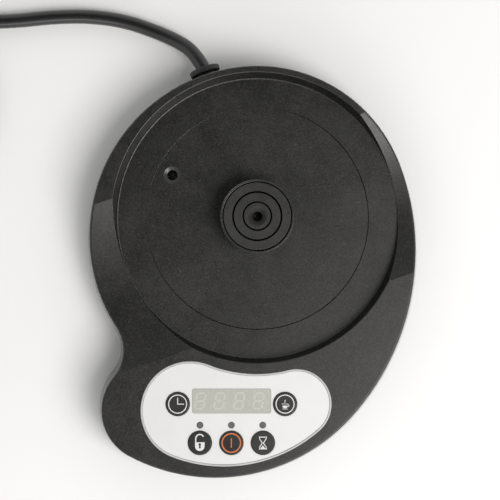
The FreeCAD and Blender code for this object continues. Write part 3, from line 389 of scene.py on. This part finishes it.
def circle_points(radius, start=0.0, end=360.0, x=0.0, y=0.0, count=RING_POINTS):
    """Points on a circle or an arc; a whole circle doesn't repeat its first point."""
    whole = abs(end - start) >= 360
    steps = count if whole else count - 1
    found = []
    for i in range(count):
        px, py, _ = polar(radius, start + (end - start) * i / steps)
        found.append((x + px, y + py))
    return found


def stroke(points, width, closed=False):
    """Outline faces of a line of some width: (points, faces) with square ends."""
    count = len(points)
    verts = []
    for i, (x, y) in enumerate(points):
        before = points[i - 1] if closed or i else points[i]
        after = points[(i + 1) % count] if closed or i < count - 1 else points[i]
        arms = []
        for (ax, ay), (bx, by) in ((before, (x, y)), ((x, y), after)):
            length = math.hypot(bx - ax, by - ay)
            if length:
                arms.append(((bx - ax) / length, (by - ay) / length))
        if len(arms) == 1:
            arms *= 2
        side_x, side_y = -(arms[0][1] + arms[1][1]), arms[0][0] + arms[1][0]
        grow = 2 / (side_x**2 + side_y**2) * width / 2
        verts.append((x + side_x * grow, y + side_y * grow))
        verts.append((x - side_x * grow, y - side_y * grow))
    faces = []
    for i in range(count if closed else count - 1):
        j = (i + 1) % count
        faces.append((2 * i, 2 * i + 1, 2 * j + 1, 2 * j))
    return verts, faces


def patch(points):
    """One filled face."""
    return points, [tuple(range(len(points)))]


def printed(name, shapes, place, material, body, thickness=INK_T):
    """Thin layer of ink made of flat shapes in millimetres about a place in metres."""
    verts = []
    faces = []
    for points, outline in shapes:
        base = len(verts)
        verts += [place + mm(x, y, thickness) for x, y in points]
        for face in outline:
            corners = [base + i for i in face]
            normal = 0.0
            for i, j in zip(corners, corners[1:] + corners[:1]):
                normal += verts[i].x * verts[j].y - verts[j].x * verts[i].y
            faces.append(corners if normal > 0 else corners[::-1])
    piece = mesh_piece(name, verts, faces, material, False)
    layer = piece.modifiers.new("thickness", "SOLIDIFY")
    layer.thickness = (thickness + INK_SINK) * MM
    layer.offset = -1.0
    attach(piece, body)
    return piece


def top_middle(node):
    """Middle of a node's box, on its highest plane."""
    low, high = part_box(node)
    return Vector(((low.x + high.x) / 2, (low.y + high.y) / 2, high.z))


def make_symbols(white, orange):
    ring = stroke(circle_points(4.45), 0.45, True)
    hands = stroke([(0.0, 3.1), (0.0, 0.0), (3.2, 0.0)], 0.42)
    printed("ink_clock", [ring, hands], top_middle("button_clock"), white, "clock_key")
    cup = patch([(-1.35, -0.75)] + circle_points(1.35, 180, 360, 0.0, -0.75, 16) + [(1.35, -0.75)])
    lip = stroke([(-1.6, 0.05), (1.6, 0.05)], 0.26)
    saucer = stroke([(-1.3, -2.4), (1.3, -2.4)], 0.24)
    handle = stroke(circle_points(0.55, -80, 90, 1.4, -0.75, 12), 0.24)
    steam = stroke([(-0.35, 0.7), (0.15, 1.15), (-0.2, 1.6), (0.35, 2.1)], 0.24)
    printed("ink_brew", [ring, cup, lip, saucer, handle, steam],
            top_middle("button_brew"), white, "brew_key")
    body = patch([(2.35, 0.35), (-2.35, 0.35)] + circle_points(2.35, 180, 360, 0.0, -1.55, 24))
    arch = circle_points(2.0, 180, 25, 0.0, 2.2, 24)
    shackle = stroke([(-2.0, 0.3)] + arch, 0.6)
    printed("ink_lock", [body, shackle], top_middle("button_lock"), white, "lock_key")
    bar = stroke([(0.0, 2.3), (0.0, -2.3)], 0.5)
    printed("ink_power", [stroke(circle_points(4.55), 0.6, True), bar],
            top_middle("button_power"), orange, "power_key")
    lids = [stroke([(-2.0, y), (2.0, y)], 0.45) for y in (2.9, -2.9)]
    bulbs = stroke([(-1.6, 2.8), (-1.6, 2.0), (-0.25, 0.0), (-1.6, -2.0), (-1.6, -2.8)], 0.4)
    mirror = stroke([(1.6, 2.8), (1.6, 2.0), (0.25, 0.0), (1.6, -2.0), (1.6, -2.8)], 0.4)
    sand = patch([(-1.2, -2.7), (1.2, -2.7), (0.0, -1.2)])
    printed("ink_timer", [*lids, bulbs, mirror, sand],
            top_middle("button_timer"), white, "timer_key")


KEYHOLE_T = 0.09         # stands over the lock's white ink


def make_keyhole(material):
    hole = patch(circle_points(0.62, 0, 360, 0.0, -0.75, 20))
    leg = patch([(0.24, -0.9), (-0.24, -0.9), (-0.5, -2.6), (0.5, -2.6)])
    place = top_middle("button_lock")
    printed("ink_keyhole", [hole, leg], place, material, "lock_key", KEYHOLE_T)


DIGIT_H = 7.6
DIGIT_T = 0.02
DIGIT_W = 4.3
DIGIT_LEAN = 0.16        # sideways shift for each unit of height
DIGIT_BAR = 0.95
DIGIT_GAP = 0.35         # between the ends of two bars
DIGIT_STARTS = (-28.1, -18.6, -8.9, 0.6)


def make_digits(material):
    """Four unlit seven-bar figures under the window, seen faintly through it."""
    half = DIGIT_H / 2
    side = DIGIT_W / 2
    bars = []
    for start in DIGIT_STARTS:
        lines = [[(-side + DIGIT_GAP, y), (side - DIGIT_GAP, y)] for y in (half, 0.0, -half)]
        for x in (-side, side):
            lines.append([(x, DIGIT_GAP), (x, half - DIGIT_GAP)])
            lines.append([(x, -half + DIGIT_GAP), (x, -DIGIT_GAP)])
        for line in lines:
            bars.append(stroke([(start + x + y * DIGIT_LEAN, y) for x, y in line], DIGIT_BAR))
    low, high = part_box("display_window")
    place = Vector((0.0, (low.y + high.y) / 2, high.z))
    printed("window_digits", bars, place, material, "base", DIGIT_T)


MARKS = ((15.4, 165.0), (15.3, 6.0))     # (radius, direction)
MARK_R = 0.6
MARK_T = 0.02


def make_ring_marks(material):
    """Two small near-black dots on the ring around the connector."""
    marks = []
    for radius, direction in MARKS:
        x, y, _ = polar(radius, direction)
        marks.append(patch(circle_points(MARK_R, 0, 360, x, y, 20)))
    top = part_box("connector_body")[1].z
    printed("ring_dark_dots", marks, Vector((0.0, 0.0, top)), material, "base", MARK_T)


def make_bead(name, radius, height, thickness, material, slot, start=0.0, end=360.0):
    """Fine rounded edge round the Z axis; one that doesn't go all the way round fades out at its ends."""
    around, across = 144, 10
    whole = end - start >= 360
    verts = []
    for i in range(around):
        share = i / (around if whole else around - 1)
        size = thickness if whole else thickness * max(0.05, min(1.0, 6 * share, 6 * (1 - share)))
        for j in range(across):
            out, up, _ = polar(size, 360 * j / across)
            x, y, _ = polar(radius + out, start + (end - start) * share)
            verts.append(mm(x, y, height + up))
    faces = []
    for i in range(around if whole else around - 1):
        for j in range(across):
            a, b = i * across, (i + 1) % around * across
            k = (j + 1) % across
            faces.append((a + j, b + j, b + k, a + k))
    if not whole:
        faces.append(tuple(range(across))[::-1])
        faces.append(tuple(range((around - 1) * across, around * across)))
    bead = mesh_piece(name, verts, faces, material)
    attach(bead, "base")
    return bead


# (radius, height, thickness) of the fine rounded edges
COLLAR_EDGE = (18.0, 32.62, 0.24)
STEP_EDGE = (55.9, 17.78, 0.17)
# the step's edge goes all the way round, but the bead is drawn only over this arc, the side where the edge
# shows a highlight: a painted highlight put in as a part
STEP_EDGE_ARC = (55.0, 225.0)
TIE_W = 3.2
TIE_T = 0.5
TIE_GAP = 0.03           # between the strap and the cord
LOW_TURNS = ((36.0, 3.7), (43.3, 3.7))   # (radius, height) of the coil's turns
TOP_TURN = (39.9, 9.97)
TIE_INNER_Z = 0.45       # the strap is flattened under the coil
TIE_OUTER_Z = 0.05


def make_tie(name, direction, centres, material):
    """Strap around the turns of the coil at one direction; centres are (radius, height) of the turns."""
    verts = []
    count = 40
    for i in range(count):
        nx, nz, _ = polar(1, 360 * i / count)
        far = max(centres, key=lambda c: c[0] * nx + c[1] * nz)
        inner = CORD_R + TIE_GAP
        for reach, floor in ((inner, TIE_INNER_Z), (inner + TIE_T, TIE_OUTER_Z)):
            for across in (-TIE_W / 2, TIE_W / 2):
                radius = far[0] + nx * reach
                x, y, _ = polar(radius, direction)
                tx, ty, _ = polar(across, direction + 90)
                verts.append(mm(COIL_X + x + tx, COIL_Y + y + ty, max(far[1] + nz * reach, floor)))
    faces = []
    for i in range(count):
        a, b = 4 * i, 4 * ((i + 1) % count)
        for p, q in ((0, 1), (1, 3), (3, 2), (2, 0)):
            faces.append((a + p, a + q, b + q, b + p))
    strap = mesh_piece(name, verts, faces, material)
    edge = strap.modifiers.new("edge", "BEVEL")
    edge.width = 0.12 * MM
    edge.segments = 2
    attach(strap, "base")
    return strap


# ---- camera, floor and light ----
LENS = 93.3
VIEW_TARGET = (-3.6, -16.15, 18.0)
VIEW_RISE = 88.1         # degrees above the table, seen from the front
VIEW_DISTANCE = 0.65
FLOOR_SIZE = 3.0
# the glow of the surroundings is brightest near the horizon and faint overhead
GLOW_LOW_Z = 0.55
GLOW_HIGH_Z = 0.92
GLOW_LOW = 0.86
GLOW_HIGH = 0.06


def make_camera():
    data = bpy.data.cameras.new("camera")
    data.lens = LENS
    data.sensor_width = 36.0
    camera = bpy.data.objects.new("camera", data)
    bpy.context.scene.collection.objects.link(camera)
    target = mm(*VIEW_TARGET)
    rise = math.radians(VIEW_RISE)
    place = target + Vector((0, -math.cos(rise), math.sin(rise))) * VIEW_DISTANCE
    aim(camera, place, target)
    bpy.context.scene.camera = camera
    bpy.context.scene.view_settings.view_transform = "Standard"


def make_floor():
    made = Shader("floor_pale")
    cloud = made.noise(6.0, 4.0, 0.6)
    made.colour(made.mix(made.ramp(cloud, 0.3, 0.7), (0.87, 0.868, 0.86), (0.89, 0.888, 0.88)))
    made.roughness(made.ramp(made.noise(25.0), 0.3, 0.7, 0.6, 0.7))
    corners = [(x * FLOOR_SIZE, y * FLOOR_SIZE, 0) for x, y in ((-1, -1), (1, -1), (1, 1), (-1, 1))]
    floor = mesh_piece("floor", corners, [(0, 1, 2, 3)], made.material, False)


def area_light(name, place, target, size, power, colour=(1.0, 1.0, 1.0)):
    data = bpy.data.lights.new(name, "AREA")
    data.shape = "RECTANGLE"
    data.size, data.size_y = size
    data.energy = power
    data.color = colour
    light = bpy.data.objects.new(name, data)
    bpy.context.scene.collection.objects.link(light)
    aim(light, Vector(place), Vector(target))


def make_lights():
    area_light("key", (0.56, -0.44, 1.0), (0, 0, 0), (0.6, 0.8), 11.0, (1.0, 0.985, 0.965))
    area_light("front", (0.1, -1.2, 0.6), (0, 0, 0), (1.4, 0.5), 4.0)
    world = bpy.data.worlds.new("world")
    bpy.context.scene.world = world
    world.use_nodes = True
    nodes = world.node_tree.nodes
    links = world.node_tree.links
    place = nodes.new("ShaderNodeTexCoord")
    split = nodes.new("ShaderNodeSeparateXYZ")
    rise = nodes.new("ShaderNodeMapRange")
    rise.inputs["From Min"].default_value = GLOW_LOW_Z
    rise.inputs["From Max"].default_value = GLOW_HIGH_Z
    rise.inputs["To Min"].default_value = GLOW_LOW
    rise.inputs["To Max"].default_value = GLOW_HIGH
    links.new(place.outputs["Generated"], split.inputs[0])
    links.new(split.outputs["Z"], rise.inputs["Value"])
    backdrop = nodes["Background"]
    backdrop.inputs["Color"].default_value = (1.0, 1.0, 1.0, 1.0)
    links.new(rise.outputs["Result"], backdrop.inputs["Strength"])


# ---- the scene ----
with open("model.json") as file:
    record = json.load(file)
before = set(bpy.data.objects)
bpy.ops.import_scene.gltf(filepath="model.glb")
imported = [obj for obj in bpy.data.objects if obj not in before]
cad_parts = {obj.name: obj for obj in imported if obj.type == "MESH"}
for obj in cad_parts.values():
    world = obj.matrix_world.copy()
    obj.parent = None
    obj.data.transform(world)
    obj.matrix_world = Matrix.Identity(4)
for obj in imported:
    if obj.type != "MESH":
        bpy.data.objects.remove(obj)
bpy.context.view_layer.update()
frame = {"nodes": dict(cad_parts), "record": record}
materials = make_materials()
dress(frame, materials)
make_camera()
make_floor()
make_lights()
cord = make_cord(materials)
white_ink = printed_ink("ink_white", (0.74, 0.735, 0.72))
make_symbols(white_ink, printed_ink("ink_orange", (0.62, 0.17, 0.045)))
make_keyhole(materials["button_black"])
make_digits(printed_ink("ink_digits", (0.53, 0.535, 0.47)))
make_ring_marks(printed_ink("mark_black", (0.004, 0.004, 0.004)))
edge_black = plain_plastic("edge_black", (0.03, 0.029, 0.028), 0.22, 0.00001)
make_bead("collar_edge", *COLLAR_EDGE, edge_black, "housing_black")
make_bead("seat_step_edge", *STEP_EDGE, edge_black, "housing_black", *STEP_EDGE_ARC)
strap_black = plain_plastic("strap_black", (0.03, 0.03, 0.031), 0.55, 0.00006)
ties = [
    make_tie("tie_back", 150.0, (*LOW_TURNS, TOP_TURN), strap_black),
    make_tie("tie_front", 300.0, LOW_TURNS, strap_black),
]
